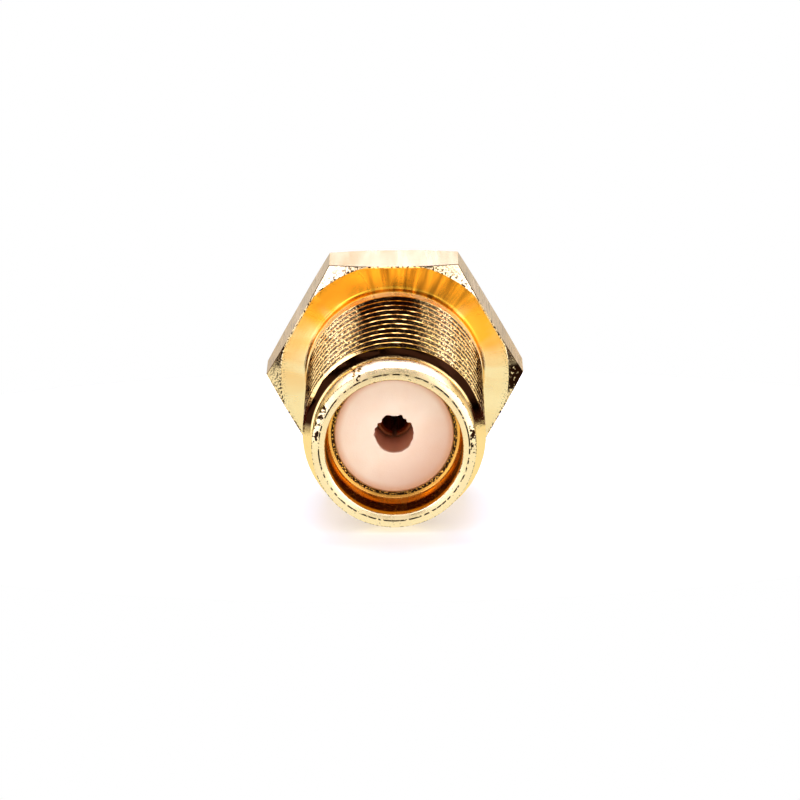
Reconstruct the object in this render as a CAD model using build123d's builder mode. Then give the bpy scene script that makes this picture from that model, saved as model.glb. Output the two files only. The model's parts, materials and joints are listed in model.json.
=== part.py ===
from build123d import *
from math import cos, radians, tan
import os

# SMA cable jack, in millimetres. It lies on one flat of its hexagon, with its axis along Y
# and its mating end towards -Y. The origin is on the axis, in the reference plane: the
# ledge in the mouth where the outer conductors of a mated pair meet.

# Coupling thread, 1/4-36 UNS. Its ridges are rings at the thread's pitch, crest and depth, with
# the first one where the turn starts at the top, so that the crests still measure as a shaft.
inch = 25.4
threads_per_inch = 36
thread_major_d = 6.35
thread_depth_per_pitch = 0.6134
thread_flank_angle = 30
root_flats_per_pitch = 6
first_crest_setback = 0.15
lead_in_angle = 15

# Walls from the thread inwards: the step down to the pilot, the lip round the mouth, and the
# ledge round the insulator, which leave a 4.70 mm mouth and a 4.12 mm insulator bore
pilot_step = 0.355
lip_width = 0.47
ledge_width = 0.29

# Barrel, from the mating face back to the hexagon
barrel_length = 10.4
pilot_length = 1.4
relief_length = 0.55
relief_undercut = 0.03
base_land = 0.35
base_chamfer = 0.15

# Lip: a shallow ridge that falls a little to both of its edges
lip_ridge_offset = 0.225
lip_fall = 0.03
mouth_chamfer = 0.04
mating_bore_depth = 1.9

# Hexagon of 8 mm bar, with its corners turned back on both faces. The flat ring on its front
# face, from the thread out to the flats, seats a panel or a washer.
hex_shoulder = 0.825
hex_sides = 6
hex_thickness = 2.7
crown_margin = 0.1
crown_angle = 30
crown_clearance = 0.2

# Insulator, a bead pushed in from the mating end against the pot cavity's shoulder
insulator_clearance = 0.01
insulator_length = 9.7
insulator_edge = 0.05

# Centre contact: a slotted socket, a shoulder and a solder pot, turned in one piece
socket_bore_d = 0.94
socket_wall = 0.165
socket_floor = 0.6
socket_lead_in = 0.08
contact_setback = 2.1
contact_clearance = 0.03
tine_count = 4
tine_slot_width = 0.16
tine_slot_length = 2.6
tine_closing = 0.025
shoulder_step = 0.315
shoulder_length = 1.0
pot_bore_d = 0.95
pot_wall = 0.275
pot_length = 1.6
pot_floor = 0.3
pot_chamfer = 0.1
inspection_hole_d = 0.45
inspection_hole_setback = 0.75

# Cavity round the solder pot, and the bore behind it that takes the cable's dielectric
pot_cavity_gap = 0.5
cable_stop_gap = 0.2
cable_bore_d = 3.05
cable_bore_chamfer = 0.15

# Grooved stub that the crimp ferrule grips, and the collar that stops the ferrule
stub_wall = 0.475
stub_length = 6.7
stub_chamfer = 0.2
groove_pitch = 0.8
groove_depth = 0.12
groove_angle = 45
groove_margin = 0.9
collar_step = 0.75
collar_length = 0.8
collar_chamfer = 0.15

# Thread section
thread_pitch = inch / threads_per_inch
thread_depth = thread_depth_per_pitch * thread_pitch
thread_root = thread_pitch / root_flats_per_pitch
flank_rise = tan(radians(thread_flank_angle))

# Diameters that follow from the walls and clearances
thread_minor_d = thread_major_d - 2 * thread_depth
relief_d = thread_minor_d - 2 * relief_undercut
pilot_d = thread_major_d - 2 * pilot_step
mating_bore_d = pilot_d - 2 * lip_width
lip_ridge_d = mating_bore_d + 2 * lip_ridge_offset
insulator_bore_d = mating_bore_d - 2 * ledge_width
hex_across_flats = thread_major_d + 2 * hex_shoulder
crown_d = hex_across_flats + 2 * crown_margin
contact_d = socket_bore_d + 2 * socket_wall
contact_hole_d = contact_d + 2 * contact_clearance
shoulder_d = contact_d + 2 * shoulder_step
pot_d = pot_bore_d + 2 * pot_wall
pot_cavity_d = pot_d + 2 * pot_cavity_gap
stub_d = cable_bore_d + 2 * stub_wall
collar_d = stub_d + 2 * collar_step

# Places along the axis
nose_y = -mating_bore_depth
pilot_end = nose_y + pilot_length
lead_in_length = (thread_major_d - pilot_d) / 2 * tan(radians(lead_in_angle))
hex_front = nose_y + barrel_length
thread_rear = hex_front - base_land - relief_length
first_root = pilot_end + first_crest_setback + thread_pitch / 2
root_count = 1 + int((thread_rear - first_root) / thread_pitch)
hex_rear = hex_front + hex_thickness
collar_end = hex_rear + collar_length
tail_y = collar_end + stub_length
hex_corner_r = hex_across_flats / 2 / cos(radians(180 / hex_sides))
crown_outer_r = hex_corner_r + crown_clearance
crown_depth = (crown_outer_r - crown_d / 2) * tan(radians(crown_angle))
slots_end = contact_setback + tine_slot_length
shoulder_front = insulator_length - shoulder_length
pot_end = insulator_length + pot_length
cavity_end = pot_end + cable_stop_gap
groove_count = 1 + int((stub_length - 2 * groove_margin) / groove_pitch)


def across_axis(y, towards):
    """A plane across the axis at y, facing along +Y or -Y."""
    return Plane(origin=(0, y, 0), x_dir=(1, 0, 0), z_dir=(0, towards, 0))


def circles_at(part, y):
    """The part's circular edges in the plane across the axis at y, smallest first."""
    flat = part.edges().filter_by_position(Axis.Y, y, y)
    return flat.filter_by(GeomType.CIRCLE).sort_by(SortBy.RADIUS)


# Body: one piece turned from hexagon bar. Half sections are drawn in XY, with the radius
# along X, and turned about Y.
with BuildPart() as body:
    with BuildSketch(across_axis(hex_front, 1)):
        RegularPolygon(radius=hex_across_flats / 2, side_count=hex_sides, major_radius=False)
    extrude(amount=hex_thickness)
    # The crown is what a chamfering tool leaves: a cylinder with a cone at each face
    with BuildSketch(Plane.XY):
        with BuildLine():
            Polyline(
                (0, hex_front),
                (crown_d / 2, hex_front),
                (crown_outer_r, hex_front + crown_depth),
                (crown_outer_r, hex_rear - crown_depth),
                (crown_d / 2, hex_rear),
                (0, hex_rear),
                close=True,
            )
        make_face()
    revolve(axis=Axis.Y, mode=Mode.INTERSECT)
    # Barrel ahead of the hexagon, collar and stub behind it
    with BuildSketch(Plane.XY):
        with BuildLine():
            Polyline(
                (0, nose_y + lip_fall),
                (mating_bore_d / 2, nose_y + lip_fall),
                (lip_ridge_d / 2, nose_y),
                (pilot_d / 2, nose_y + lip_fall),
                (pilot_d / 2, pilot_end),
                (thread_major_d / 2, pilot_end + lead_in_length),
                (thread_major_d / 2, hex_front),
                (collar_d / 2, hex_front),
                (collar_d / 2, collar_end),
                (stub_d / 2, collar_end),
                (stub_d / 2, tail_y),
                (0, tail_y),
                close=True,
            )
        make_face()
    revolve(axis=Axis.Y)
    # Thread relief at the root of the barrel
    with BuildSketch(Plane.XY):
        with Locations((thread_major_d / 2, thread_rear + relief_length / 2)):
            Rectangle(thread_major_d - relief_d, relief_length)
    revolve(axis=Axis.Y, mode=Mode.SUBTRACT)
    # Thread, ahead of the relief: a groove that is as deep outside the barrel as in it, so that
    # its section is twice the thread's depth high
    groove_mouth = thread_root / 2 + 2 * thread_depth * flank_rise
    with BuildSketch(Plane.XY):
        with Locations((thread_minor_d / 2, first_root + (root_count - 1) / 2 * thread_pitch)):
            with GridLocations(0, thread_pitch, 1, root_count):
                Polygon(
                    (0, -thread_root / 2),
                    (0, thread_root / 2),
                    (2 * thread_depth, groove_mouth),
                    (2 * thread_depth, -groove_mouth),
                    align=None,
                )
    revolve(axis=Axis.Y, mode=Mode.SUBTRACT)
    # Grooves round the crimp stub
    groove_half_width = groove_depth * tan(radians(groove_angle))
    with BuildSketch(Plane.XY):
        with Locations((stub_d / 2, (collar_end + tail_y) / 2)):
            with GridLocations(0, groove_pitch, 1, groove_count):
                Polygon(
                    (-groove_depth, 0),
                    (groove_depth, -2 * groove_half_width),
                    (groove_depth, 2 * groove_half_width),
                    align=None,
                )
    revolve(axis=Axis.Y, mode=Mode.SUBTRACT)
    # Mouth and insulator bore from the front, cable bore and pot cavity from the rear
    with Locations(across_axis(nose_y, -1)):
        CounterBoreHole(
            radius=insulator_bore_d / 2,
            counter_bore_radius=mating_bore_d / 2,
            counter_bore_depth=mating_bore_depth,
            depth=mating_bore_depth + insulator_length,
        )
    with Locations(across_axis(tail_y, 1)):
        CounterBoreHole(
            radius=pot_cavity_d / 2,
            counter_bore_radius=cable_bore_d / 2,
            counter_bore_depth=tail_y - cavity_end,
            depth=tail_y - insulator_length,
        )
    # Edges
    chamfer(circles_at(body, hex_front)[0], length=base_chamfer)
    chamfer(circles_at(body, nose_y + lip_fall)[0], length=mouth_chamfer)
    chamfer(circles_at(body, collar_end)[-1], length=collar_chamfer)
    chamfer(circles_at(body, tail_y)[0], length=cable_bore_chamfer)
    chamfer(circles_at(body, tail_y)[-1], length=stub_chamfer)
body.part.label = "body"

# Insulator: a PTFE bead, drilled for the contact and counterbored for its shoulder
with BuildPart() as insulator:
    with BuildSketch(across_axis(0, 1)):
        Circle(insulator_bore_d / 2 - insulator_clearance)
    extrude(amount=insulator_length)
    with Locations(across_axis(insulator_length, 1)):
        CounterBoreHole(
            radius=contact_hole_d / 2,
            counter_bore_radius=shoulder_d / 2 + contact_clearance,
            counter_bore_depth=shoulder_length,
        )
    chamfer(circles_at(insulator, 0)[-1], length=insulator_edge)
insulator.part.label = "insulator"

# Centre contact: its tines close in towards the mouth, so that they grip the plug's pin
with BuildPart() as centre_contact:
    with BuildSketch(Plane.XY):
        with BuildLine():
            Polyline(
                (0, contact_setback),
                (contact_d / 2 - tine_closing, contact_setback),
                (contact_d / 2, slots_end),
                (contact_d / 2, shoulder_front),
                (shoulder_d / 2, shoulder_front),
                (shoulder_d / 2, insulator_length),
                (pot_d / 2, insulator_length),
                (pot_d / 2, pot_end),
                (0, pot_end),
                close=True,
            )
        make_face()
    revolve(axis=Axis.Y)
    # Socket bore, closing in with the tines
    with BuildSketch(Plane.XY):
        with BuildLine():
            Polyline(
                (0, contact_setback),
                (socket_bore_d / 2 - tine_closing, contact_setback),
                (socket_bore_d / 2, slots_end),
                (socket_bore_d / 2, slots_end + socket_floor),
                (0, slots_end + socket_floor),
                close=True,
            )
        make_face()
    revolve(axis=Axis.Y, mode=Mode.SUBTRACT)
    chamfer(circles_at(centre_contact, contact_setback)[0], length=socket_lead_in)
    # Slots between the tines, each cut out from the axis
    with BuildSketch(across_axis(contact_setback, 1)):
        with PolarLocations(contact_d / 4, tine_count):
            Rectangle(contact_d / 2 + socket_lead_in, tine_slot_width)
    extrude(amount=tine_slot_length, mode=Mode.SUBTRACT)
    # Solder pot, with its inspection hole through one wall
    with Locations(across_axis(pot_end, 1)):
        Hole(radius=pot_bore_d / 2, depth=pot_length - pot_floor)
    with Locations(Plane(origin=(0, pot_end - inspection_hole_setback, pot_d / 2))):
        Hole(radius=inspection_hole_d / 2, depth=pot_d / 2)
    chamfer(circles_at(centre_contact, pot_end)[-1], length=pot_chamfer)
centre_contact.part.label = "centre_contact"

os.makedirs("parts", exist_ok=True)
export_step(body.part, "parts/body.step")
export_step(insulator.part, "parts/insulator.step")
export_step(centre_contact.part, "parts/centre_contact.step")
print(f"overall length {tail_y - nose_y:.2f} mm")
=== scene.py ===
# %% [markdown]
# # A gold-plated coaxial jack
# The jack is 20.6 mm long and lies on a white sheet with its threaded, female end towards us.
# The solids from the CAD model are the frame: everything here is built round them, in metres
# and in the same place. The origin is on the axis, on the ledge 1.9 mm inside the mouth; Y
# runs back along the axis and Z is up.

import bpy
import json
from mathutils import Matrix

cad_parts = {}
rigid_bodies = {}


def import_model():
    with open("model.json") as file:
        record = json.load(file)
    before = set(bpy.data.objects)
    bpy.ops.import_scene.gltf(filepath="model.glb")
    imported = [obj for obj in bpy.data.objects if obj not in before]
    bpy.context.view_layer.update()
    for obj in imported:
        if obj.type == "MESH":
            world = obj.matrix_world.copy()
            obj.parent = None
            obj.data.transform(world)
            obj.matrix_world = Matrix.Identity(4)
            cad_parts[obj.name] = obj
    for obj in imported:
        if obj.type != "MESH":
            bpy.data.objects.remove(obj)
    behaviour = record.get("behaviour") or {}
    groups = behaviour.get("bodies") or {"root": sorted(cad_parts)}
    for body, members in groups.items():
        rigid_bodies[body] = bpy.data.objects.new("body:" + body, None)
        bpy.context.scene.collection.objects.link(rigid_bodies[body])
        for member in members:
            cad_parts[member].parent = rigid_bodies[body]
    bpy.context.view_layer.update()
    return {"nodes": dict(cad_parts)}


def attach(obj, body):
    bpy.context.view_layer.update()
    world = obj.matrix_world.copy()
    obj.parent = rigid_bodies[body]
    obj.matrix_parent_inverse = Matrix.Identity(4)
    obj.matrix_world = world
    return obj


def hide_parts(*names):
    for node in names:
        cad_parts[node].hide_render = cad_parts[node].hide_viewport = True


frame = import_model()

# %% Tools that the cells share
import json
from math import ceil, cos, pi, radians, sin, tan

import bmesh
import bpy
import numpy as np
from mathutils import Matrix, Vector

MM = 0.001  # the sizes below are written in millimetres and used in metres
scene = bpy.context.scene
scene_objects = scene.collection.objects

# %% [markdown]
# ## The camera
# Straight lines drawn through the twelve thread crests, the hexagon and the mouth fix where a
# camera has to stand: 19 cm in front of the mouth, 14 degrees above the axis, with a long lens.

# %% Place the camera
camera_place = Vector((1.020, -184.350, 47.337)) * MM
look = Vector((-0.004243, 0.97008, -0.24274))
picture_right = Vector((0.99994, 0.001753, -0.010475))
picture_up = Vector((0.009736, 0.242773, 0.970034))
camera = bpy.data.objects.new("camera", bpy.data.cameras.new("camera"))
camera.data.sensor_width = 36
camera.data.lens = 248.9
camera.data.clip_start = 0.01
turn = Matrix((picture_right, picture_up, -look)).transposed()
camera.matrix_world = Matrix.Translation(camera_place) @ turn.to_4x4()
scene_objects.link(camera)
scene.camera = camera
print("camera", round(camera_place.length / MM), "mm from the ledge")

# %% [markdown]
# ## Node trees from text
# Materials and Geometry Nodes are both graphs of nodes. One function adds a node, sets what is
# fixed on it and links what comes from other nodes.

# %% One function for every node
MATH, MIX, NOISE, RANGE = "ShaderNodeMath", "ShaderNodeMix", "ShaderNodeTexNoise", "ShaderNodeMapRange"


def add(tree, kind, *values, **settings):
    """A new node. values fill its inputs in order, or by name or number where one is a dict.
    A value that is a socket, or a node, whose first output is meant, is linked."""
    node = tree.nodes.new(kind)
    for name, setting in settings.items():
        setattr(node, name, setting)
    for place, value in enumerate(values):
        for key, item in (value if isinstance(value, dict) else {place: value}).items():
            if isinstance(item, bpy.types.Node):
                item = item.outputs[0]
            if isinstance(item, bpy.types.NodeSocket):
                tree.links.new(item, node.inputs[key])
            else:
                node.inputs[key].default_value = item
    return node


# %% [markdown]
# ## Turned surfaces
# A lathe turns a profile about an axis. Here a profile is a list of (radius, y) corners, and
# each corner becomes a ring of points. Every ring has the same number of points, so that
# rings made in different ways can be welded later.

# %% Rings, and a mesh from them
COLUMNS = 288
angles = np.arange(COLUMNS) * 2 * pi / COLUMNS


def ring(radius, y):
    """Points round the axis. radius and y are numbers, or one number for each angle."""
    radius, y = np.broadcast_to(radius, COLUMNS), np.broadcast_to(y, COLUMNS)
    return np.stack([radius * np.cos(angles), y, radius * np.sin(angles)], 1)


def softened(corners, radius, steps=3):
    """A profile with each corner turned into a small arc, as far as its sides allow."""
    corners = [np.array(c, float) for c in corners]
    out = [corners[0]]
    for before, corner, after in zip(corners, corners[1:], corners[2:]):
        to_before, to_after = before - corner, after - corner
        cut = min(radius, 0.45 * np.linalg.norm(to_before), 0.45 * np.linalg.norm(to_after))
        start = corner + cut * to_before / np.linalg.norm(to_before)
        end = corner + cut * to_after / np.linalg.norm(to_after)
        for i in range(steps):
            t = i / (steps - 1)
            out.append((1 - t) ** 2 * start + 2 * t * (1 - t) * corner + t * t * end)
    return out + [corners[-1]]


def skin(name, rings, sharp=40):
    """A mesh object whose faces join each ring to the next, with edges over sharp degrees crisp."""
    count = len(rings[0])
    points = np.concatenate(rings) * MM
    faces = [
        (
            r * count + i, r * count + (i + 1) % count, (r + 1) * count + (i + 1) % count,
            (r + 1) * count + i,
        )
        for r in range(len(rings) - 1)
        for i in range(count)
    ]
    mesh = bpy.data.meshes.new(name)
    mesh.from_pydata(points.tolist(), [], faces)
    mesh.shade_smooth()
    mesh.set_sharp_from_angle(angle=radians(sharp))
    piece = bpy.data.objects.new(name, mesh)
    scene_objects.link(piece)
    return piece


def plain_mesh(piece):
    """Swaps the piece's modifiers for the mesh that they make."""
    made = bpy.data.meshes.new_from_object(
        piece.evaluated_get(bpy.context.evaluated_depsgraph_get()),
    )
    piece.modifiers.clear()
    piece.data = made
    return piece


# %% [markdown]
# ## The coupling thread
# The 1/4-36 thread is one ridge that winds twelve times round the barrel. Copies of a ring
# would look right from the front but wouldn't wind. A flat grid bent into a tube does: one
# side of the grid runs once round the barrel, and each column of points sits a little further
# forward than the last one, so that after a full turn the rows meet their neighbours exactly
# one pitch on. The radius of a point follows from its row alone.

# %% Thread sizes
pitch = 25.4 / 36
crest_r = 3.175
thread_depth = 0.6134 * pitch
crest_share, root_share = 1 / 8, 1 / 6
pilot_r, relief_r = 2.82, crest_r - thread_depth - 0.03
nose_y, thread_front, thread_rear = -1.9, -0.5, 7.6
rows_per_turn = 16
first_crest_top = -0.35
# The ridge moves forward by one pitch a turn, anticlockwise from +X as seen from the front
first_crest = first_crest_top + pitch / 4 - 2 * pitch
thread_turns = ceil((thread_rear - first_crest) / pitch) + 2
print("thread", thread_turns, "turns of rows, depth", round(thread_depth, 3), "mm")


# %% Build the thread's node tree
def thread_tree(finish):
    tree = bpy.data.node_groups.new("winding thread", "GeometryNodeTree")
    tree.is_modifier = True
    tree.interface.new_socket("Geometry", in_out="OUTPUT", socket_type="NodeSocketGeometry")
    sizes = {
        "Pitch": pitch, "First crest": first_crest, "Crest radius": crest_r, "Depth": thread_depth,
        "Crest share": crest_share, "Root share": root_share, "Front": thread_front,
        "Rear": thread_rear, "Front radius": pilot_r, "Rear radius": relief_r,
        "Lead-in slope": 1 / tan(radians(15)), "Burr height": 0.016, "Burr size": 0.13,
    }
    for name in sizes:
        tree.interface.new_socket(name, in_out="INPUT", socket_type="NodeSocketFloat")
    for name in ("Turns", "Rows per turn", "Columns"):
        tree.interface.new_socket(name, in_out="INPUT", socket_type="NodeSocketInt")
    tree.interface.new_socket("Finish", in_out="INPUT", socket_type="NodeSocketMaterial")
    given = add(tree, "NodeGroupInput").outputs
    rows = add(tree, MATH, given["Turns"], given["Rows per turn"], operation="MULTIPLY")
    grid = add(tree, "GeometryNodeMeshGrid", {
        "Size X": 1.0, "Size Y": 1.0,
        "Vertices X": add(tree, MATH, given["Columns"], 1.0, operation="ADD"),
        "Vertices Y": add(tree, MATH, rows, 1.0, operation="ADD"),
    })
    across = add(tree, "ShaderNodeSeparateXYZ", {0: grid.outputs["UV Map"]})
    once_round, along = across.outputs[0], across.outputs[1]
    turns = add(tree, MATH, along, given["Turns"], operation="MULTIPLY")
    # How far a row is from the middle of the crest, from 0 to half a turn
    from_crest = add(tree, MATH, turns, 0.5, operation="PINGPONG")
    half_crest = add(tree, MATH, given["Crest share"], 0.5, operation="MULTIPLY")
    flank_end = add(
        tree, MATH, 0.5, add(tree, MATH, given["Root share"], 0.5, operation="MULTIPLY"),
        operation="SUBTRACT",
    )
    sunk = add(tree, RANGE, {
        "Value": from_crest, "From Min": half_crest, "From Max": flank_end,
        "To Min": 0.0, "To Max": given["Depth"],
    })
    wound = add(tree, MATH, turns, once_round, operation="SUBTRACT")
    y = add(tree, MATH, wound, given["Pitch"], given["First crest"], operation="MULTIPLY_ADD")
    inside = add(
        tree, MATH, add(tree, MATH, y, given["Front"], operation="MAXIMUM"), given["Rear"],
        operation="MINIMUM",
    )
    past_front = add(tree, MATH, inside, given["Front"], operation="SUBTRACT")
    cone = add(
        tree, MATH, past_front, given["Lead-in slope"], given["Front radius"],
        operation="MULTIPLY_ADD",
    )
    radius = add(
        tree, MATH, add(tree, MATH, given["Crest radius"], sunk, operation="SUBTRACT"), cone,
        operation="MINIMUM",
    )
    # Cutting tears the crest a little: a fixed noise lowers it by up to the burr's height
    angle = add(tree, MATH, once_round, 2 * pi, operation="MULTIPLY")
    cosine, sine = add(
        tree, MATH, angle, operation="COSINE",
    ), add(tree, MATH, angle, operation="SINE")
    spot = add(tree, "ShaderNodeCombineXYZ", {
        0: add(tree, MATH, cosine, given["Crest radius"], operation="MULTIPLY"), 1: inside,
        2: add(tree, MATH, sine, given["Crest radius"], operation="MULTIPLY"),
    })
    torn = add(tree, NOISE, {
        "Vector": spot, "Scale": add(
            tree, MATH, 1.0, given["Burr size"], operation="DIVIDE",
        ), "Detail": 2.0,
    }).outputs["Fac"]
    near_crest = add(tree, RANGE, {
        "Value": from_crest, "From Min": half_crest, "From Max": add(
            tree, MATH, half_crest, 0.15, operation="ADD",
        ),
        "To Min": 1.0, "To Max": 0.0,
    })
    burr = add(
        tree, MATH, add(tree, MATH, torn, near_crest, operation="MULTIPLY"), given["Burr height"],
        operation="MULTIPLY",
    )
    radius = add(
        tree, MATH, radius, add(tree, MATH, burr, 2.0, operation="MULTIPLY"), operation="SUBTRACT",
    )
    # Rows past an end are gathered onto its edge, so that the ridge runs out there
    at_front = add(tree, "FunctionNodeCompare", {0: y, 1: given["Front"]}, operation="LESS_EQUAL")
    at_rear = add(tree, "FunctionNodeCompare", {0: y, 1: given["Rear"]}, operation="GREATER_EQUAL")
    radius = add(
        tree, "GeometryNodeSwitch", {0: at_front, 1: radius, 2: given["Front radius"]},
        input_type="FLOAT",
    )
    radius = add(
        tree, "GeometryNodeSwitch", {0: at_rear, 1: radius, 2: given["Rear radius"]},
        input_type="FLOAT",
    )
    place = add(tree, "ShaderNodeCombineXYZ", {
        0: add(
            tree, MATH, cosine, radius, operation="MULTIPLY",
        ), 1: inside, 2: add(tree, MATH, sine, radius, operation="MULTIPLY"),
    })
    metres = add(tree, "ShaderNodeVectorMath", {0: place, "Scale": MM}, operation="SCALE")
    bent = add(
        tree, "GeometryNodeSetPosition", {"Geometry": grid.outputs["Mesh"], "Position": metres},
    )
    merged = add(
        tree, "GeometryNodeMergeByDistance", {"Geometry": bent.outputs[0], "Distance": 1e-6},
    )
    real = add(tree, "GeometryNodeRealizeInstances", {"Geometry": merged.outputs[0]})
    painted = add(
        tree, "GeometryNodeSetMaterial", {"Geometry": real.outputs[0], "Material": given["Finish"]},
    )
    add(tree, "NodeGroupOutput", {0: painted.outputs[0]})
    sizes.update(
        {
            "Turns": thread_turns, "Rows per turn": rows_per_turn, "Columns": COLUMNS,
            "Finish": finish,
        },
    )
    return tree, sizes


def grown(name, tree, sizes):
    """A piece made by a node tree alone: an empty mesh with the tree as its modifier."""
    piece = bpy.data.objects.new(name, bpy.data.meshes.new(name))
    scene_objects.link(piece)
    modifier = piece.modifiers.new(name, "NODES")
    modifier.node_group = tree
    for item in tree.interface.items_tree:
        if item.in_out == "INPUT" and item.name in sizes:
            modifier[item.identifier] = sizes[item.name]
    return plain_mesh(piece)

# %% [markdown]
# ## The gold plate
# The body is turned from brass bar and plated with a thin layer of gold over nickel. Plate
# copies what lies under it, so each finish below has the marks of the tool that made its
# surface. Each finish also has a second colour for its upper side, which is painted light and
# painted reflection. A photograph of plate could be wrapped round the part, but its light would
# be fixed in it. Here the colour, the marks and the wear are all worked out from a point's place
# on the part, in millimetres.

# %% Colours, and masks
def linear(code):
    """An sRGB hex colour as linear RGBA."""
    parts = [int(code[i:i + 2], 16) / 255 for i in (1, 3, 5)]
    return [p / 12.92 if p <= 0.04045 else ((p + 0.055) / 1.055) ** 2.4 for p in parts] + [1.0]


def new_material(name):
    made = bpy.data.materials.new(name)
    made.use_nodes = True
    made.node_tree.nodes.clear()
    return made, made.node_tree


def around_axis(tree):
    """(position, distance from the axis, angle, y) from Object coordinates, in millimetres."""
    where = add(tree, "ShaderNodeTexCoord").outputs["Object"]
    mm = add(tree, "ShaderNodeVectorMath", {0: where, "Scale": 1 / MM}, operation="SCALE")
    parts = add(tree, "ShaderNodeSeparateXYZ", mm).outputs
    flat = add(tree, "ShaderNodeCombineXYZ", parts[0], 0.0, parts[2])
    distance = add(tree, "ShaderNodeVectorMath", flat, operation="LENGTH").outputs["Value"]
    return mm, distance, add(tree, MATH, parts[2], parts[0], operation="ARCTAN2"), parts[1]


def window(tree, value, low, high, soft):
    """1 between low and high, with soft edges that lie outside them."""
    rise = add(tree, RANGE, value, low - soft, low, 0.0, 1.0, interpolation_type="SMOOTHSTEP")
    fall = add(tree, RANGE, value, high, high + soft, 1.0, 0.0, interpolation_type="SMOOTHSTEP")
    return add(tree, MATH, rise, fall, operation="MULTIPLY")


def specks(tree, mm, size, share, soft=0.04):
    """Spots of about that size, in millimetres, which cover about that share of the surface."""
    noise = add(tree, NOISE, {"Vector": mm, "Scale": 1 / size, "Detail": 2.0})
    edge = 0.5 + (0.5 - share) * 0.36
    return add(tree, RANGE, noise, edge - soft, edge + soft, 0.0, 1.0)


# %% [markdown]
# ## Tool marks
# A cutter leaves one groove a turn, and a bar that is drawn through a die has scratches along
# it. As geometry they would take millions of faces, so a noise gives them, stretched along
# the cut. For turning it is read at the distance from the axis plus the distance along it, so
# the same grooves run over walls and flat faces alike. A finishing cut feeds 0.02 to 0.05 mm
# a turn. The coarse end is drawn here, because finer grooves don't show in the picture.

# %% Marks that a tool leaves
def turned(tree, mm, distance, angle, y):
    """Grooves round the axis, 0.05 mm apart: their direction, and the places to read them and
    the broader shades at. The shades run across the grooves, like the spokes of a wheel."""
    parts = add(tree, "ShaderNodeSeparateXYZ", mm).outputs
    minus_z = add(tree, MATH, parts[2], -1.0, operation="MULTIPLY")
    along = add(tree, "ShaderNodeCombineXYZ", minus_z, 0.0, parts[0])
    outward = [add(tree, MATH, parts[axis], distance, operation="DIVIDE") for axis in (0, 2)]
    depth = add(tree, MATH, distance, y, operation="ADD")
    grooves = add(tree, MATH, depth, 1 / 0.05, operation="MULTIPLY")
    shades = add(tree, MATH, depth, 0.35, operation="MULTIPLY")
    fine, broad = (
        add(
            tree, "ShaderNodeCombineXYZ",
            *[add(tree, MATH, way, pace, operation="MULTIPLY") for way in outward], step,
        )
        for pace, step in ((1.5, grooves), (4.0, shades))
    )
    return along, fine, broad


def drawn(tree, mm, distance, angle, y):
    """Scratches along the bar, 0.06 mm apart and 3 mm long."""
    along = add(tree, "ShaderNodeCombineXYZ", 0.0, 1.0, 0.0)
    fine = add(tree, "ShaderNodeMapping", {"Vector": mm, "Scale": (1 / 0.06, 1 / 3.0, 1 / 0.06)})
    broad = add(tree, "ShaderNodeMapping", {"Vector": mm, "Scale": (1 / 0.5, 1 / 6.0, 1 / 0.5)})
    return along, fine, broad


# %% [markdown]
# ## Wear, torn metal and painted shade
# The real jack has broken dark lines on its lip, a few dark patches on the nose and a torn edge
# where the hexagon was chamfered. Painted shade darkens the thread's flanks, the mouth and one
# corner of the crown, and painted reflection lays brown spokes on the hexagon's face. They could
# be painted by hand onto an unwrapped copy. Here each is a mask, given by a range of angle, radius
# or length and broken up by a noise, so that it stays in its place if a size changes. The real
# pits are finer than these specks of 0.05 to 0.14 mm, which are as coarse as they need to be to show.

# %% Where the plate is worn, and where shade is painted
hex_front, crown_r = 8.5, 4.1
mouth_r, lip_ridge_r, bead_bore_r = 2.35, 2.575, 2.06


def bare_nowhere(tree, mm, distance, angle, y):
    """No wear at all."""
    return add(tree, "ShaderNodeValue")


def worn_bar(tree, mm, distance, angle, y):
    """Dark scratches along the bar's side flats."""
    scratches = specks(
        tree, add(tree, "ShaderNodeMapping", {"Vector": mm, "Scale": (1.0, 0.05, 1.0)}), 0.07, 0.2,
    )
    aside = add(tree, MATH, add(tree, "ShaderNodeSeparateXYZ", mm).outputs[0], operation="ABSOLUTE")
    return add(
        tree, MATH, scratches, add(tree, RANGE, aside, 2.2, 2.6, 0.0, 0.5), operation="MULTIPLY",
    )


def painted_thread_shade(tree, mm, distance, angle, y):
    """Painted shade on the upper half of the flanks that face the mouth, with bright specks in it,
    and in the corner in front of the thread."""
    # Painted shade: the corner of the lead-in in front of the thread is darkened
    corner = add(
        tree, MATH, window(tree, angle, 0.35, 2.95, 0.2),
        window(tree, y, thread_front - 0.1, thread_front + 0.2, 0.03), operation="MULTIPLY",
    )
    corner = add(
        tree, MATH, corner, window(tree, distance, pilot_r + 0.08, crest_r + 0.125, 0.05),
        operation="MULTIPLY",
    )
    # Painted shade: the flanks that face the mouth are darkened, as the shade in the grooves
    facing = add(
        tree, "ShaderNodeSeparateXYZ", add(tree, "ShaderNodeNewGeometry").outputs["Normal"],
    ).outputs[1]
    shaded_flank = add(
        tree, MATH, window(tree, distance, crest_r - 0.195, crest_r - 0.045, 0.04),
        window(tree, y, 0.25, hex_front + 0.5, 0.02), operation="MULTIPLY",
    )
    shaded_flank = add(
        tree, MATH, shaded_flank, add(tree, RANGE, facing, -0.5, -0.2, 0.95, 0.0), operation="MULTIPLY",
    )
    shaded_flank = add(tree, MATH, shaded_flank, specks(tree, mm, 0.05, 0.8, 0.08), operation="MULTIPLY")
    return add(tree, MATH, corner, shaded_flank, operation="MAXIMUM")


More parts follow.
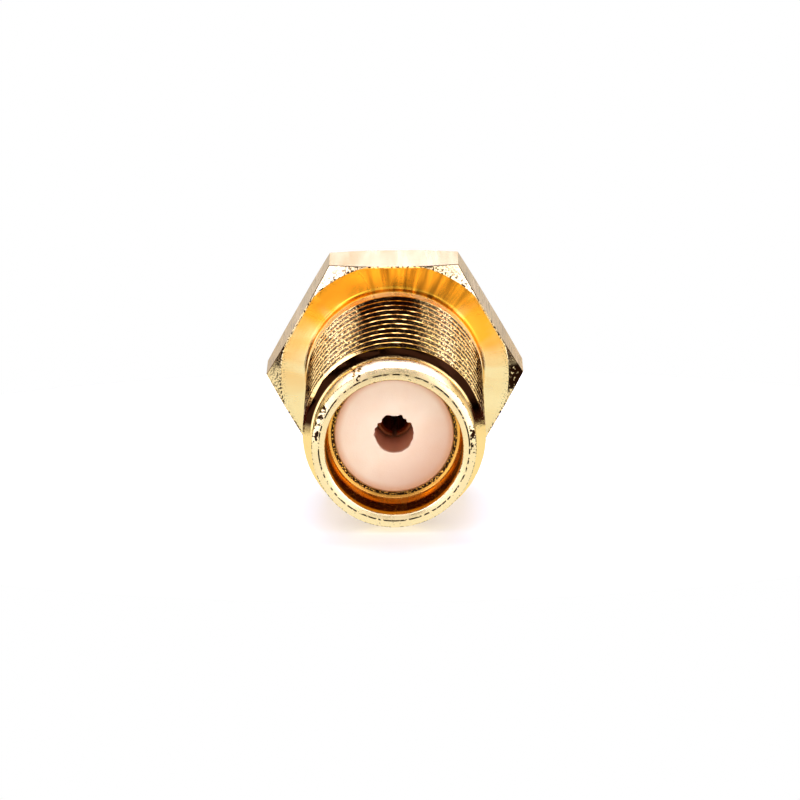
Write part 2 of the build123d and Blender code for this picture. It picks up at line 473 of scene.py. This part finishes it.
def worn_nose(tree, mm, distance, angle, y):
    """Broken lines on the lip's ridge and both its edges, and a few dark patches on the pilot."""
    dashes = specks(tree, mm, 0.14, 0.6, 0.02)
    wear_and_shade = add(
        tree, MATH, window(tree, distance, lip_ridge_r - 0.015, lip_ridge_r + 0.02, 0.015), dashes,
        operation="MULTIPLY",
    )
    edges = add(
        tree, MATH, window(tree, distance, mouth_r, mouth_r + 0.025, 0.01),
        window(tree, distance, pilot_r - 0.025, pilot_r - 0.005, 0.01), operation="ADD",
    )
    edges = add(tree, MATH, edges, specks(tree, mm, 0.06, 0.35), operation="MULTIPLY")
    wear_and_shade = add(tree, MATH, wear_and_shade, edges, operation="MAXIMUM")
    wear_and_shade = add(
        tree, MATH, wear_and_shade, window(tree, y, nose_y - 0.1, nose_y + 0.06, 0.01), operation="MULTIPLY",
    )
    spots = add(tree, NOISE, {"Vector": mm, "Scale": 1 / 0.12, "Detail": 2.0})
    # Angle from, angle to, y from, y to
    for dark_patch in ((2.62, 3.0, -2.0, -0.75), (0.0, 0.2, -2.0, -0.9), (2.0, 2.06, -1.9, -0.55)):
        patch = add(
            tree, MATH, window(tree, angle, *dark_patch[:2], 0.12), window(tree, y, *dark_patch[2:], 0.3),
            operation="MULTIPLY",
        )
        patch = add(
            tree, MATH, patch, window(tree, distance, 2.66, 9.0, 0.08), operation="MULTIPLY",
        )
        patch = add(
            tree, RANGE, add(tree, MATH, patch, 0.25, spots, operation="MULTIPLY_ADD"), 0.7, 0.76,
            0.0, 1.0,
        )
        wear_and_shade = add(tree, MATH, wear_and_shade, patch, operation="MAXIMUM")
    return wear_and_shade


def painted_mouth_shade(tree, mm, distance, angle, y):
    """Painted shade in the mouth: a dark sparkling ring on the ledge beside the bead, and a dark band
    on the wall.
    """
    # Painted shade: a dark ring on the ledge, in the corner beside the bead
    ledge = add(
        tree, MATH, window(tree, distance, bead_bore_r - 0.06, bead_bore_r + 0.11, 0.02),
        specks(tree, mm, 0.06, 0.7), operation="MULTIPLY",
    )
    # Painted shade: a dark band down the mouth's wall
    wall = add(
        tree, MATH, window(tree, y, -1.45, -0.6, 0.2), specks(tree, mm, 0.06, 0.9),
        operation="MULTIPLY",
    )
    return add(
        tree, MATH, ledge, add(tree, MATH, wall, 0.93, operation="MULTIPLY"), operation="MAXIMUM",
    )


def worn_face_and_reflection(tree, mm, distance, angle, y):
    """Specks towards the rim of the hexagon's front ring, and painted reflection above: brown spokes
    where the face mirrors the thread.
    """
    rim = add(tree, RANGE, distance, crown_r - 0.25, crown_r, 0.0, 0.8)
    rim = add(tree, MATH, rim, specks(tree, mm, 0.05, 0.25), operation="MULTIPLY")
    # Painted reflection: brown spokes above the axis, where the face mirrors the thread
    wheel = add(
        tree, "ShaderNodeCombineXYZ", angle, 0.0,
        add(tree, MATH, distance, 0.03, operation="MULTIPLY"),
    )
    spokes = add(
        tree, MATH, window(tree, angle, 0.95, 1.7, 0.25), specks(tree, wheel, 0.07, 0.6, 0.2),
        operation="MULTIPLY",
    )
    return add(
        tree, MATH, rim, add(tree, MATH, spokes, 0.75, operation="MULTIPLY"), operation="MAXIMUM",
    )


def torn_and_shaded_crown(tree, mm, distance, angle, y):
    """Specks on the crown, most of them beside the face, where the chamfering tool tore the metal, and
    painted shade at the corner on the right.
    """
    edge = add(tree, RANGE, y, hex_front, hex_front + 0.25, 1.0, 0.25)
    edge = add(tree, MATH, edge, specks(tree, mm, 0.07, 0.4, 0.02), operation="MULTIPLY")
    # Painted shade: dark specks crowd the corner on the right
    painted_corner_shade = add(
        tree, MATH, window(tree, angle, -0.12, 0.06, 0.08), specks(tree, mm, 0.12, 0.85),
        operation="MULTIPLY",
    )
    return add(tree, MATH, edge, painted_corner_shade, operation="MAXIMUM")


# %% [markdown]
# ## Six gold finishes
# Fine parallel grooves spread a reflection across themselves, which is what gives a turned
# face its fan of light. The shader's anisotropy does that, with its tangent laid across the
# grooves. Two bumps add the grooves themselves and the plate's own grain, and a broad noise
# makes the gloss uneven. Where the plate is torn or soiled, it is dull and brown. The same brown
# is painted shade and painted reflection where a finish's mask says so, and the upper side's
# colour is painted light.

# %% The gold finishes
def gold(
    name, plate, upper, glancing, lay, wear_and_shade, roughness, streak, groove_height, grain_size,
    grain_height,
):
    """plate and upper are the colours below and above. upper is painted light and painted
    reflection: paler where light falls on the top, deeper where the top mirrors the warm room.
    glancing is the colour that it gives to what it mirrors at a low angle."""
    made, tree = new_material(name)
    place = around_axis(tree)
    along, fine, broad = lay(tree, *place)
    tool = add(tree, NOISE, {"Vector": fine, "Scale": 1.0, "Detail": 3.0})
    grain = add(tree, NOISE, {"Vector": place[0], "Scale": 1 / grain_size, "Detail": 2.0})
    cloud = add(tree, NOISE, {"Vector": broad, "Scale": 1.0, "Detail": 2.0})
    # Painted light: the upper side takes its own colour, paler where light falls and deeper where it
    # mirrors the warm room
    high = add(tree, "ShaderNodeSeparateXYZ", place[0]).outputs[2]
    high = add(
        tree, RANGE, add(tree, MATH, cloud, 4.0, high, operation="MULTIPLY_ADD"), 1.6, 4.2, 0.0,
        1.0,
    )
    tint = add(tree, MIX, {0: high, 6: linear(plate), 7: linear(upper)}, data_type="RGBA")
    # Wear and soil, painted shade and painted reflection all mix in this same dark brown
    tint = add(
        tree, MIX, {0: wear_and_shade(tree, *place), 6: tint.outputs[2], 7: linear("#241106")},
        data_type="RGBA",
    )
    rough = add(tree, RANGE, cloud, 0.3, 0.7, roughness * 0.7, roughness * 1.3)
    scored = add(
        tree, "ShaderNodeBump", {"Height": tool, "Strength": 1.0, "Distance": groove_height * MM},
    )
    pitted = add(
        tree, "ShaderNodeBump",
        {"Height": grain, "Strength": 1.0, "Distance": grain_height * MM, "Normal": scored},
    )
    facing = add(tree, "ShaderNodeNewGeometry").outputs["Normal"]
    across = add(tree, "ShaderNodeVectorMath", along, facing, operation="CROSS_PRODUCT")
    metal = add(tree, "ShaderNodeBsdfPrincipled", {
        "Base Color": tint.outputs[2], "Metallic": 1.0, "Roughness": rough, "Anisotropic": streak,
        "Normal": pitted, "Tangent": across, "Specular Tint": linear(glancing),
    })
    add(tree, "ShaderNodeOutputMaterial", metal)
    return made


# Turned: a soft bright line along the nose, the collar and the stub
turned_gold = gold(
    "turned brass, gold plated", "#FFE8B0", "#FFE6AC", "#FFE0A8", turned, worn_nose, 0.26, 0.85,
    0.002, 0.03, 0.0006,
)
# Bored: deep in colour, because light bounces from wall to wall. Painted shade also darkens a ring on
# the ledge and a band on the wall
bored_gold = gold(
    "bored brass, gold plated", "#F0B050", "#FFBC48", "#8E6A3C", turned, painted_mouth_shade, 0.24, 0.6,
    0.004, 0.03, 0.0015,
)
# Faced: spokes of light that turn round the axis with the eye. Painted reflection adds brown spokes
# above and a deep orange upper side
faced_gold = gold(
    "faced brass, gold plated", "#FFEBB0", "#FFB732", "#FFD8A0", turned, worn_face_and_reflection, 0.26, 0.88,
    0.0022, 0.03, 0.0002,
)
# Cut thread: the clearest reflections, broken by the torn crest, with painted shade on the flanks that
# face the mouth
thread_gold = gold(
    "cut thread, gold plated", "#FFDF94", "#FFD888", "#FFD8A0", turned, painted_thread_shade, 0.12, 0.5,
    0.0012, 0.05, 0.0022,
)
# Drawn bar: satin flats with long scratches, paler at a low angle. The paler upper flats are painted
# light
drawn_gold = gold(
    "drawn bar, gold plated", "#FFDC94", "#FFEFC8", "#C0B098", drawn, worn_bar, 0.24, 0.8, 0.004,
    0.04, 0.001,
)
# Chamfered: bright, with dark specks where the tool tore it, and painted shade at the corner on the
# right
crown_gold = gold(
    "chamfered brass, gold plated", "#FFE4A8", "#FFE4A8", "#FFD8A0", turned, torn_and_shaded_crown, 0.18, 0.3,
    0.002, 0.05, 0.0022,
)

print("finishes", [made.name for made in bpy.data.materials if "gold" in made.name])

# %% The coupling thread
thread = grown("coupling_thread", *thread_tree(thread_gold))
print("thread", len(thread.data.polygons), "faces")

# %% [markdown]
# ## The grooved stub
# The crimp ferrule grips the braid on a stub with seven V grooves. The same bent grid makes
# them. Every fourth row starts a new groove, and the third row of each is its bottom.

# %% Grooves
stub_r, groove_pitch, groove_depth, groove_count = 2.0, 0.8, 0.12, 7
collar_end, tail_y = 12.0, 18.7
groove_start = (collar_end + tail_y - groove_count * groove_pitch) / 2


def groove_tree(finish):
    tree = bpy.data.node_groups.new("ring grooves", "GeometryNodeTree")
    tree.is_modifier = True
    tree.interface.new_socket("Geometry", in_out="OUTPUT", socket_type="NodeSocketGeometry")
    sizes = {
        "Radius": stub_r, "Pitch": groove_pitch, "Depth": groove_depth, "Start": groove_start,
        "Half width share": groove_depth / groove_pitch,
    }
    for name in sizes:
        tree.interface.new_socket(name, in_out="INPUT", socket_type="NodeSocketFloat")
    for name in ("Grooves", "Columns"):
        tree.interface.new_socket(name, in_out="INPUT", socket_type="NodeSocketInt")
    tree.interface.new_socket("Finish", in_out="INPUT", socket_type="NodeSocketMaterial")
    given = add(tree, "NodeGroupInput").outputs
    rows = add(tree, MATH, given["Grooves"], 4.0, operation="MULTIPLY")
    grid = add(tree, "GeometryNodeMeshGrid", {
        "Size X": 1.0, "Size Y": 1.0,
        "Vertices X": add(
            tree, MATH, given["Columns"], 1.0, operation="ADD",
        ), "Vertices Y": add(tree, MATH, rows, 1.0, operation="ADD"),
    })
    across = add(tree, "ShaderNodeSeparateXYZ", {0: grid.outputs["UV Map"]})
    row = add(
        tree, MATH, add(tree, MATH, across.outputs[1], rows, operation="MULTIPLY"),
        operation="ROUND",
    )
    in_groove = add(tree, MATH, row, 4.0, operation="MODULO")
    groove = add(tree, MATH, add(tree, MATH, row, 4.0, operation="DIVIDE"), operation="FLOOR")
    first_step = add(tree, MATH, given["Half width share"], -2.0, 0.5, operation="MULTIPLY_ADD")
    step = add(
        tree, MATH, add(tree, MATH, in_groove, 1.0, operation="MINIMUM"), first_step,
        operation="MULTIPLY",
    )
    step = add(tree, MATH, in_groove, given["Half width share"], step, operation="MULTIPLY_ADD")
    y = add(
        tree, MATH, add(tree, MATH, groove, step, operation="ADD"), given["Pitch"], given["Start"],
        operation="MULTIPLY_ADD",
    )
    bottom = add(tree, MATH, in_groove, 2.0, 0.1, operation="COMPARE")
    radius = add(
        tree, MATH, given["Radius"], add(tree, MATH, bottom, given["Depth"], operation="MULTIPLY"),
        operation="SUBTRACT",
    )
    angle = add(tree, MATH, across.outputs[0], 2 * pi, operation="MULTIPLY")
    place = add(tree, "ShaderNodeCombineXYZ", {
        0: add(
            tree, MATH, add(tree, MATH, angle, operation="COSINE"), radius, operation="MULTIPLY",
        ), 1: y,
        2: add(tree, MATH, add(tree, MATH, angle, operation="SINE"), radius, operation="MULTIPLY"),
    })
    metres = add(tree, "ShaderNodeVectorMath", {0: place, "Scale": MM}, operation="SCALE")
    bent = add(
        tree, "GeometryNodeSetPosition", {"Geometry": grid.outputs["Mesh"], "Position": metres},
    )
    merged = add(
        tree, "GeometryNodeMergeByDistance", {"Geometry": bent.outputs[0], "Distance": 1e-6},
    )
    real = add(tree, "GeometryNodeRealizeInstances", {"Geometry": merged.outputs[0]})
    painted = add(
        tree, "GeometryNodeSetMaterial", {"Geometry": real.outputs[0], "Material": given["Finish"]},
    )
    add(tree, "NodeGroupOutput", {0: painted.outputs[0]})
    sizes.update({"Grooves": groove_count, "Columns": COLUMNS, "Finish": finish})
    return tree, sizes


grooves = grown("stub_grooves", *groove_tree(turned_gold))
print("grooves", len(grooves.data.polygons), "faces")

# %% [markdown]
# ## The hexagon
# The hexagon is left over from the bar. A chamfering tool has turned its corners back, so its
# front face is a disc, and the cut meets each flat in a shallow curve. Both follow from one
# rule: the flats say how far out a ring may go at each angle, and the cone says how far back.

# %% Hexagon, relief and collar
hex_rear, flat_distance = 11.2, 4.0
flat_r = flat_distance / np.cos((angles % radians(60)) - radians(30))
edge = 0.025


def crown_back(radius):
    """How far the crown lies behind the hexagon's face at that radius."""
    return np.maximum(0, radius - crown_r) * tan(radians(30))


def hexagon_face(y, back):
    """Rings from the crown circle to the flats. back is 1 for the front face and -1 for the rear."""
    inner, outer = (
        np.minimum(crown_r + step, flat_r - 2 * edge + step) for step in (-edge / 2, edge / 2)
    )
    return [
        ring(inner, y),
        ring(outer, y + back * crown_back(outer)),
        ring(flat_r - edge, y + back * crown_back(flat_r - edge)),
        ring(flat_r, y + back * (crown_back(flat_r) + edge)),
    ]


base_land, base_fillet = 0.35, 0.15
fillet = [
    (crest_r + base_fillet * (1 - sin(t)), hex_front - base_fillet * (1 - cos(t)))
    for t in np.linspace(pi / 2, 0, 6)
]
land_y = hex_front - base_land
to_hexagon = softened(
    [(relief_r, thread_rear), (relief_r, land_y), (crest_r, land_y), fillet[0]], 0.03,
) + fillet[1:] + [(3.7, hex_front)]
front_rings = [ring(*p) for p in to_hexagon] + hexagon_face(hex_front, 1)
rear_rings = hexagon_face(hex_rear, -1)[::-1]
collar_r, collar_chamfer = 2.75, 0.15
collar = softened([
    (3.6, hex_rear), (collar_r, hex_rear), (collar_r, collar_end - collar_chamfer),
    (collar_r - collar_chamfer, collar_end), (stub_r, collar_end), (stub_r, groove_start),
], 0.03)
# The crown is shallow, so edges from 13 degrees are kept crisp here
hexagon = skin("hexagon", front_rings + rear_rings + [ring(*p) for p in collar], sharp=13)
for finish in (turned_gold, drawn_gold, faced_gold, crown_gold):
    hexagon.data.materials.append(finish)
flat_row, face_row, land_row = len(front_rings) - 1, len(to_hexagon) - 2, 4
finish_rows = dict.fromkeys(
    range(land_row, face_row + 2), 2,
) | dict.fromkeys(range(face_row + 2, flat_row), 3) | {flat_row: 1}
for row, finish in finish_rows.items():
    for face in hexagon.data.polygons[row * COLUMNS:(row + 1) * COLUMNS]:
        face.material_index = finish
print("hexagon", round(2 * max(flat_r), 3), "mm over its corners")

# %% [markdown]
# ## Nose, mouth and bores
# The rest is plain turning, so one profile goes from the end of the grooves round the tail,
# forward through the bores, over the lip and back to the start of the thread. The lip is two
# shallow cones that meet in a ridge, and the wall of the mouth ends in a small fillet.

# %% The rest of the body
lip_fall, mouth_chamfer, foot_r, foot_length = 0.03, 0.04, 2.25, 0.45
bead_rear, cavity_r, cavity_end, cable_r = 9.7, 1.25, 11.5, 1.525
tail = softened([
    (
        stub_r, groove_start + groove_count * groove_pitch,
    ), (stub_r, tail_y - 0.2), (stub_r - 0.2, tail_y),
    (
        cable_r + 0.15, tail_y,
    ), (cable_r, tail_y - 0.15), (cable_r, cavity_end), (cavity_r, cavity_end),
    (cavity_r, bead_rear), (bead_bore_r, bead_rear), (bead_bore_r, 0.0), (foot_r, 0.0),
], 0.03)
foot = [
    (foot_r + (mouth_r - foot_r) * sin(t), -foot_length * (1 - cos(t)))
    for t in np.linspace(0.15, pi / 2, 6)
]
lip = softened([
    foot[-1], (mouth_r, nose_y + lip_fall + mouth_chamfer), (
        mouth_r + mouth_chamfer, nose_y + lip_fall * 0.8,
    ),
    (lip_ridge_r, nose_y), (pilot_r, nose_y + lip_fall), (pilot_r, thread_front),
], 0.035)
nose = skin("nose", [ring(*p) for p in tail + foot[:-1] + lip])
nose.data.materials.append(turned_gold)
nose.data.materials.append(bored_gold)
# From the ledge beside the bead to the top of the mouth's wall
for row in range(len(tail) - 3, len(tail) + len(foot) + 3):
    for face in nose.data.polygons[row * COLUMNS:(row + 1) * COLUMNS]:
        face.material_index = 1

# %% [markdown]
# ## One closed body
# The four strips share their end rings point for point. Joined and welded they make a single
# closed skin, whose faces are then turned outwards. Edges sharper than 40 degrees stay sharp.

# %% Weld the strips
def weld(name, strips):
    """One closed mesh from strips whose edges meet."""
    finishes = []
    for strip in strips:
        for finish in strip.data.materials:
            if finish not in finishes:
                finishes.append(finish)
    whole = bmesh.new()
    for strip in strips:
        before = len(whole.faces)
        whole.from_mesh(strip.data)
        whole.faces.ensure_lookup_table()
        for face in whole.faces[before:]:
            face.material_index = finishes.index(strip.data.materials[face.material_index])
        bpy.data.objects.remove(strip)
    bmesh.ops.remove_doubles(whole, verts=whole.verts, dist=1e-6)
    bmesh.ops.dissolve_degenerate(whole, edges=whole.edges, dist=1e-8)
    bmesh.ops.recalc_face_normals(whole, faces=whole.faces)
    open_edges = sum(not e.is_manifold for e in whole.edges)
    for face in whole.faces:
        face.smooth = True
    for edge in whole.edges:
        if edge.calc_face_angle(0) > radians(40):
            edge.smooth = False
    mesh = bpy.data.meshes.new(name)
    whole.to_mesh(mesh)
    whole.free()
    for finish in finishes:
        mesh.materials.append(finish)
    piece = bpy.data.objects.new(name, mesh)
    scene_objects.link(piece)
    # Large faces set the shading, so that a long wall stays straight up to its small edges
    shading = piece.modifiers.new("shading", "WEIGHTED_NORMAL")
    shading.keep_sharp = True
    plain_mesh(piece)
    triangles = sum(len(p.vertices) - 2 for p in piece.data.polygons)
    print(name, triangles, "triangles,", open_edges, "open edges")
    return piece


body = weld("jack_body", [thread, grooves, hexagon, nose])
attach(body, "root")
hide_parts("body")

# %% [markdown]
# ## The insulator
# A bead of PTFE, turned from rod and pressed into the bore. PTFE is soft and waxy, so light
# sinks in a little, the surface is dull, and the drill leaves a torn edge round the contact
# hole. A cylinder with a hole cut through it would have a clean edge, so the bead is made from
# rings again, and those at the hole's edge wander in and out by a fixed sum of waves.

# %% PTFE bead
def ptfe():
    made, tree = new_material("turned PTFE")
    mm, distance, angle, y = around_axis(tree)
    cloud = add(tree, NOISE, {"Vector": mm, "Scale": 1 / 0.7, "Detail": 4.0})
    tint = add(tree, MIX, {0: cloud, 6: linear("#F6E4C6"), 7: linear("#EED0AC")}, data_type="RGBA")
    # Painted shade: the lower right side, the rim beside the bore's wall and the inside of the hole
    # are darkened
    parts = add(tree, "ShaderNodeSeparateXYZ", mm).outputs
    side = add(
        tree, RANGE, add(tree, MATH, parts[0], parts[2], operation="SUBTRACT"), 0.3, 3.0, 0.0, 0.7,
    )
    tint = add(tree, MIX, {0: side, 6: tint.outputs[2], 7: linear("#CF9A76")}, data_type="RGBA")
    rim = add(tree, RANGE, distance, 1.75, 2.06, 0.0, 0.8, interpolation_type="SMOOTHSTEP")
    # Painted shade down the inside of the hole
    hole = add(
        tree, MATH, window(tree, distance, -1.0, 0.69, 0.01),
        add(tree, RANGE, y, 0.0, 0.25, 0.0, 0.95), operation="MULTIPLY",
    )
    tint = add(tree, MIX, {0: rim, 6: tint.outputs[2], 7: linear("#D9A274")}, data_type="RGBA")
    tint = add(tree, MIX, {0: hole, 6: tint.outputs[2], 7: linear("#DC9468")}, data_type="RGBA")
    fine = turned(tree, mm, distance, angle, y)[1]
    tool = add(tree, NOISE, {"Vector": fine, "Scale": 1.0, "Detail": 2.0})
    grain = add(tree, NOISE, {"Vector": mm, "Scale": 1 / 0.05, "Detail": 3.0})
    scored = add(tree, "ShaderNodeBump", {"Height": tool, "Strength": 1.0, "Distance": 0.003 * MM})
    waxy = add(
        tree, "ShaderNodeBump",
        {"Height": grain, "Strength": 1.0, "Distance": 0.006 * MM, "Normal": scored},
    )
    plastic = add(tree, "ShaderNodeBsdfPrincipled", {
        "Base Color": tint.outputs[2], "Roughness": 0.5, "IOR": 1.35, "Normal": waxy,
        "Subsurface Weight": 0.15, "Subsurface Radius": (
            0.2 * MM, 0.12 * MM, 0.08 * MM,
        ), "Subsurface Scale": 1.0,
    })
    add(tree, "ShaderNodeOutputMaterial", plastic)
    return made


bead_r, hole_r, shoulder_r, shoulder_y = 2.05, 0.665, 0.98, 8.7
draw = np.random.default_rng(7)
ragged = sum(
    draw.uniform(0.2, 1) * np.sin(
        k * angles + draw.uniform(0, 2 * pi),
    ) / k**0.8 for k in range(5, 24)
)
ragged = ragged / np.abs(ragged).max() * np.clip(0.55 + 0.6 * np.sin(angles), 0.12, 1)
bead_rings = [ring(bead_r, bead_rear), ring(bead_r, 0.06)]
bead_rings += [
    ring(bead_r - 0.05 * (1 - cos(t)), 0.05 - 0.05 * sin(t)) for t in np.linspace(0, pi / 2, 5)
]
bead_rings += [ring(r, 0.0) for r in (1.7, 1.2, 0.85, 0.76)]
bead_rings += [
    ring(hole_r + 0.02 + 0.07 * ragged, -0.006 * np.abs(ragged)),
    ring(hole_r + 0.005 + 0.08 * ragged, 0.012), ring(hole_r + 0.05 * ragged, 0.07),
    ring(hole_r, 0.2),
]
bead_rings += [
    ring(hole_r, shoulder_y), ring(shoulder_r, shoulder_y), ring(shoulder_r, bead_rear),
    ring(bead_r, bead_rear),
]
bead_strip = skin("bead", bead_rings)
bead_strip.data.materials.append(ptfe())
bead = weld("insulator_bead", [bead_strip])
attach(bead, "root")
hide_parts("insulator")

# %% [markdown]
# ## The centre contact
# A socket with slots, whose tines close in on the plug's pin. It is hardly seen at the bottom
# of the bead's hole, and it has the right shape in the CAD model, so it stays and only gets
# its plate. Its dark brown colour is painted shade, the brown of the light that reaches it
# through the hole.

# %% Plate the contact
contact = frame["nodes"]["centre_contact"]
contact.data.materials.clear()
# Painted shade: the plate is dark brown down in the hole
contact.data.materials.append(
    gold(
        "turned contact, gold plated", "#9A5A30", "#9A5A30", "#FFD8A0", turned, bare_nowhere, 0.4,
        0.3, 0.003, 0.03, 0.0015,
    ),
)

# %% [markdown]
# ## The studio
# Gold shows what stands round it, so the studio is as much a part of the picture as the plate.
# The jack leans on its first crest and the hexagon's lower edge, on a glossy white card. The
# card is a disc that fades into the white background, and gold mirrors it as plain white. A
# backdrop that curves up behind would do the same, but would hide the room's own lights.

# %% Floor
floor_radius, floor_middle = 25.0, 11.0


def sheet_material():
    made, tree = new_material("white card")
    where = add(tree, "ShaderNodeTexCoord").outputs["Object"]
    from_jack = add(
        tree, "ShaderNodeMapping", {"Vector": where, "Location": (0, -floor_middle * MM, 0)},
    )
    away = add(tree, "ShaderNodeVectorMath", from_jack, operation="LENGTH").outputs["Value"]
    # Towards its edge the card is as white as the background, so that it has no outline
    plain = add(tree, RANGE, away, 0.6 * floor_radius * MM, 0.98 * floor_radius * MM, 0.36, 1.0)
    path = add(tree, "ShaderNodeLightPath").outputs
    paper = add(
        tree, "ShaderNodeBsdfPrincipled",
        {"Base Color": linear("#DCDCDC"), "Roughness": 0.25, "Specular IOR Level": 0.5},
    )
    glow = add(
        tree, "ShaderNodeEmission", linear("#F8FAFF"),
        add(tree, MATH, path["Is Camera Ray"], plain, operation="MULTIPLY"),
    )
    white = add(tree, "ShaderNodeEmission", (1, 1, 1, 1), 1.0)
    lit = add(tree, "ShaderNodeAddShader", paper, glow)
    add(
        tree, "ShaderNodeOutputMaterial",
        add(tree, "ShaderNodeMixShader", path["Is Glossy Ray"], lit, white),
    )
    return made


# The jack leans on its first crest and the hexagon's lower front edge
contact_front = Vector((0, first_crest_top, -crest_r))
contact_rear = Vector((0, hex_front, -flat_distance))
slope = (contact_rear.z - contact_front.z) / (contact_rear.y - contact_front.y)
rim = [
    (
        floor_radius * cos(a), floor_middle + floor_radius * sin(a),
    ) for a in np.linspace(0, 2 * pi, 96, endpoint=False)
]
card = bpy.data.meshes.new("white_card")
card.from_pydata(
    [(x * MM, y * MM, (contact_front.z + slope * (y - contact_front.y)) * MM) for x, y in rim], [],
    [range(len(rim))],
)
card.materials.append(sheet_material())
sheet = bpy.data.objects.new("white_card", card)
scene_objects.link(sheet)
print("the card falls", round(-slope, 3), "mm a millimetre towards the rear")

# %% [markdown]
# ## The fill lamp
# The bead lies at the bottom of a deep mouth, which the softboxes hardly reach. A weak lamp
# below the lens lights it, and is kept out of the reflections, where it would be one more
# white spot. Brighter softboxes would light the bead too, but would bleach the gold.

# %% Fill lamp
lamp = bpy.data.objects.new("fill_lamp", bpy.data.lights.new("fill_lamp", "AREA"))
lamp.data.size = 40 * MM
lamp.data.energy = 0.15
lamp_place = Vector((-30, -190, 8)) * MM
aim = (-lamp_place).to_track_quat("-Z", "Y").to_matrix().to_4x4()
lamp.matrix_world = Matrix.Translation(lamp_place) @ aim
lamp.visible_glossy = False
scene_objects.link(lamp)

# %% [markdown]
# ## The room
# The picture's gold has white on all sides and dark gaps between. Softboxes could be built as
# glowing cards, but they would stand in the way of other views. So the world itself holds
# them: each is a soft-edged window of bearing and height in a dim, warm room. The camera sees
# plain white instead of the room.

# %% World
world = bpy.data.worlds.new("studio")
scene.world = world
world.use_nodes = True
sky = world.node_tree
sky.nodes.clear()
direction = add(sky, "ShaderNodeTexCoord").outputs["Generated"]
towards = add(sky, "ShaderNodeSeparateXYZ", direction).outputs
# Bearing: 0 is the photographer's side, 90 the right and 180 the back. Height: above the horizon.
to_front = add(sky, MATH, towards[1], -1.0, operation="MULTIPLY")
bearing = add(
    sky, MATH, add(sky, MATH, towards[0], to_front, operation="ARCTAN2"), 180 / pi,
    operation="MULTIPLY",
)
height = add(
    sky, MATH, add(sky, MATH, towards[2], operation="ARCSINE"), 180 / pi, operation="MULTIPLY",
)
aside = add(sky, MATH, bearing, operation="ABSOLUTE")

# Each softbox: what it is measured in, left, right, low, high, strength and softness
softboxes = {
    "back wall": (aside, 122, 190, 3, 36, 0.9, 5.0),
    "back light": (aside, 150, 190, 20, 50, 4.0, 9.0),
    "back floor": (aside, 110, 190, -40, 0, 1.0, 4.0),
    "left": (bearing, -84, -50, 14, 46, 2.0, 5.0),
    "left, near": (bearing, -48, -30, 26, 42, 3.0, 4.0),
    "left, low": (bearing, -46, -14, -12, 9, 2.1, 4.0),
    "right": (bearing, 44, 80, 8, 34, 2.0, 5.0),
    "right, near": (bearing, 30, 48, 26, 42, 2.0, 4.0),
    "right, high": (bearing, 55, 84, 30, 48, 1.0, 5.0),
    "right, low": (bearing, 14, 44, -12, 16, 2.1, 4.0),
    "front, low": (aside, 0, 14, -8, 3, 1.0, 3.0),
    "front, high": (aside, 0, 28, 21, 40, 2.2, 2.0),
    "overhead": (aside, 0, 60, 62, 80, 2.0, 4.0),
}
level = 0.03
for measured, left, right, low, high, strength, soft in softboxes.values():
    lit = add(
        sky, MATH, window(sky, measured, left, right, soft), window(sky, height, low, high, soft),
        operation="MULTIPLY",
    )
    level = add(sky, MATH, lit, strength, level, operation="MULTIPLY_ADD")
# The room is warm where it is dim, and the softboxes are cooler than its own light
shade = add(sky, MATH, level, 1.0, operation="MINIMUM")
green = add(sky, MATH, shade, 0.9, operation="POWER")
flash = add(
    sky, MATH, add(sky, MATH, level, shade, operation="SUBTRACT"), 0.2, operation="MULTIPLY",
)
blue = add(sky, MATH, add(sky, MATH, shade, 3.0, operation="POWER"), flash, operation="ADD")
warm = add(sky, "ShaderNodeCombineColor", 1.0, green, blue)
room = add(sky, "ShaderNodeBackground", warm, level)
backdrop = add(sky, "ShaderNodeBackground", (1, 1, 1, 1), 1.0)
seen = add(sky, "ShaderNodeLightPath").outputs["Is Camera Ray"]
both = add(sky, "ShaderNodeMixShader", seen, room, backdrop)
add(sky, "ShaderNodeOutputWorld", both)
scene.view_settings.view_transform = "Standard"
print("softboxes", len(softboxes))
